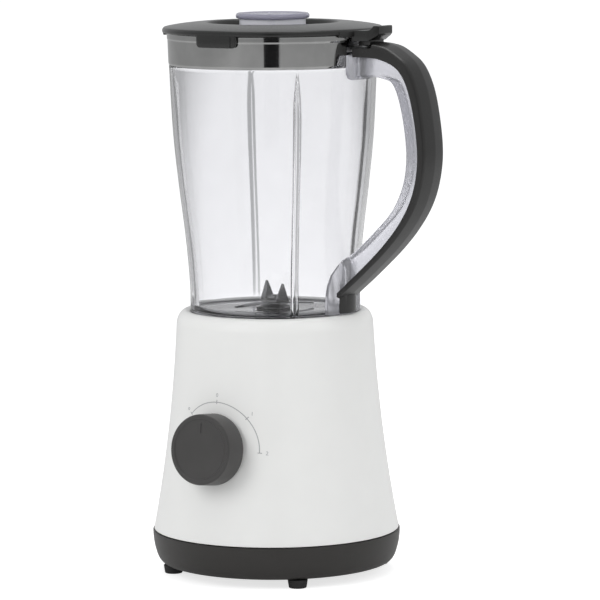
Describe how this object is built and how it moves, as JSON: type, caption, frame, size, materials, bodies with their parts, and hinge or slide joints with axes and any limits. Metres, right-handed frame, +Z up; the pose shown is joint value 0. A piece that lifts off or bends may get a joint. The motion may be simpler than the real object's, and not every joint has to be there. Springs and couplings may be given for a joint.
{
  "type": "countertop blender",
  "caption": "Countertop blender: a flared motor base with a speed knob, a clear ribbed jar with a C-shaped handle, bent steel blades, a hooked lid and a measuring cap.",
  "frame": {"origin": "middle of the whole object's footprint box, on the surface that the feet stand on; the motor and jar axis is at x = -22.086 mm, y = 3.584 mm", "axes": "+Z up along the motor shaft and the jar, -Y towards the speed knob, +X towards the handle"},
  "size_m": [0.2126, 0.1808, 0.3794],
  "materials": {
    "white_plastic": "satin moulded white",
    "base_grey_plastic": "fine-grained dark grey",
    "grip_plastic": "soft satin dark grey",
    "knob_plastic": "satin dark grey",
    "lid_plastic": "satin warm grey",
    "clear_plastic": "clear, faint lilac in the thick parts",
    "cap_plastic": "translucent lilac grey",
    "band_steel": "polished",
    "blade_steel": "ground",
    "zinc_steel": "zinc plated",
    "laminated_steel": "stacked laminations",
    "copper_wire": "enamelled copper winding",
    "brass": "turned",
    "carbon": "pressed carbon",
    "black_rubber": "matt",
    "pale_rubber": "matt silicone",
    "black_plastic": "moulded"
  },
  "bodies": {
    "base": {"housing": "white_plastic", "base_cover": "base_grey_plastic", "cord_gland": "black_plastic", "switch_body": "black_plastic", "switch_nut": "zinc_steel", "stator_core": "laminated_steel", "field_coil_left": "copper_wire", "field_coil_right": "copper_wire", "motor_bracket_lower": "zinc_steel", "motor_bracket_upper": "zinc_steel", "bearing_lower": "zinc_steel", "bearing_upper": "zinc_steel", "motor_bolt_left": "zinc_steel", "motor_bolt_right": "zinc_steel", "deck_seal": "black_rubber", "foot_right_back": "black_rubber", "foot_left_back": "black_rubber", "foot_left_front": "black_rubber", "foot_right_front": "black_rubber", "base_screw_1": "zinc_steel", "damper_1": "black_rubber", "base_screw_2": "zinc_steel", "damper_2": "black_rubber", "base_screw_3": "zinc_steel", "damper_3": "black_rubber", "base_screw_4": "zinc_steel", "damper_4": "black_rubber", "brush_holder_back": "black_plastic", "carbon_brush_back": "carbon", "brush_spring_back": "zinc_steel", "brush_holder_front": "black_plastic", "carbon_brush_front": "carbon", "brush_spring_front": "zinc_steel"},
    "knob": {"speed_knob": "knob_plastic", "switch_shaft": "zinc_steel"},
    "rotor": {"motor_shaft": "zinc_steel", "armature_core": "laminated_steel", "armature_winding_lower": "copper_wire", "armature_winding_upper": "copper_wire", "commutator": "brass", "cooling_fan": "black_plastic", "drive_coupling": "black_plastic"},
    "jar": {"jar": "clear_plastic", "handle_grip": "grip_plastic", "steel_band": "band_steel", "blade_housing": "blade_steel", "blade_gasket": "black_rubber", "blade_ring_nut": "black_plastic"},
    "blades": {"blade_shaft": "blade_steel", "blade_pair_lower": "blade_steel", "blade_pair_upper": "blade_steel", "blade_nut": "blade_steel", "driven_coupling": "black_plastic"},
    "lid": {"lid": "lid_plastic", "lid_seal": "pale_rubber"},
    "cap": {"measuring_cap": "cap_plastic"}
  },
  "joints": [
    {"name": "knob_turn", "type": "hinge", "parent": "base", "child": "knob", "pos_m": [-0.02209, -0.07035, 0.092], "axis": [0, 0.9925, -0.1219], "range_deg": [-45, 90]},
    {"name": "rotor_spin", "type": "hinge", "parent": "base", "child": "rotor", "pos_m": [-0.02209, 0.00324, 0.1], "axis": [0, 0, 1], "continuous": true},
    {"name": "jar_lift", "type": "slide", "parent": "base", "child": "jar", "axis": [0, 0, 1], "range_m": [0, 0.06]},
    {"name": "blade_spin", "type": "hinge", "parent": "jar", "child": "blades", "pos_m": [-0.02209, 0.00324, 0.17], "axis": [0, 0, 1], "continuous": true},
    {"name": "lid_lift", "type": "slide", "parent": "jar", "child": "lid", "axis": [0, 0, 1], "range_m": [0, 0.05]},
    {"name": "cap_lift", "type": "slide", "parent": "lid", "child": "cap", "axis": [0, 0, 1], "range_m": [0, 0.05]}
  ],
  "couplings": [
    {"joint": "blade_spin", "follows": "rotor_spin", "ratio": 1}
  ]
}
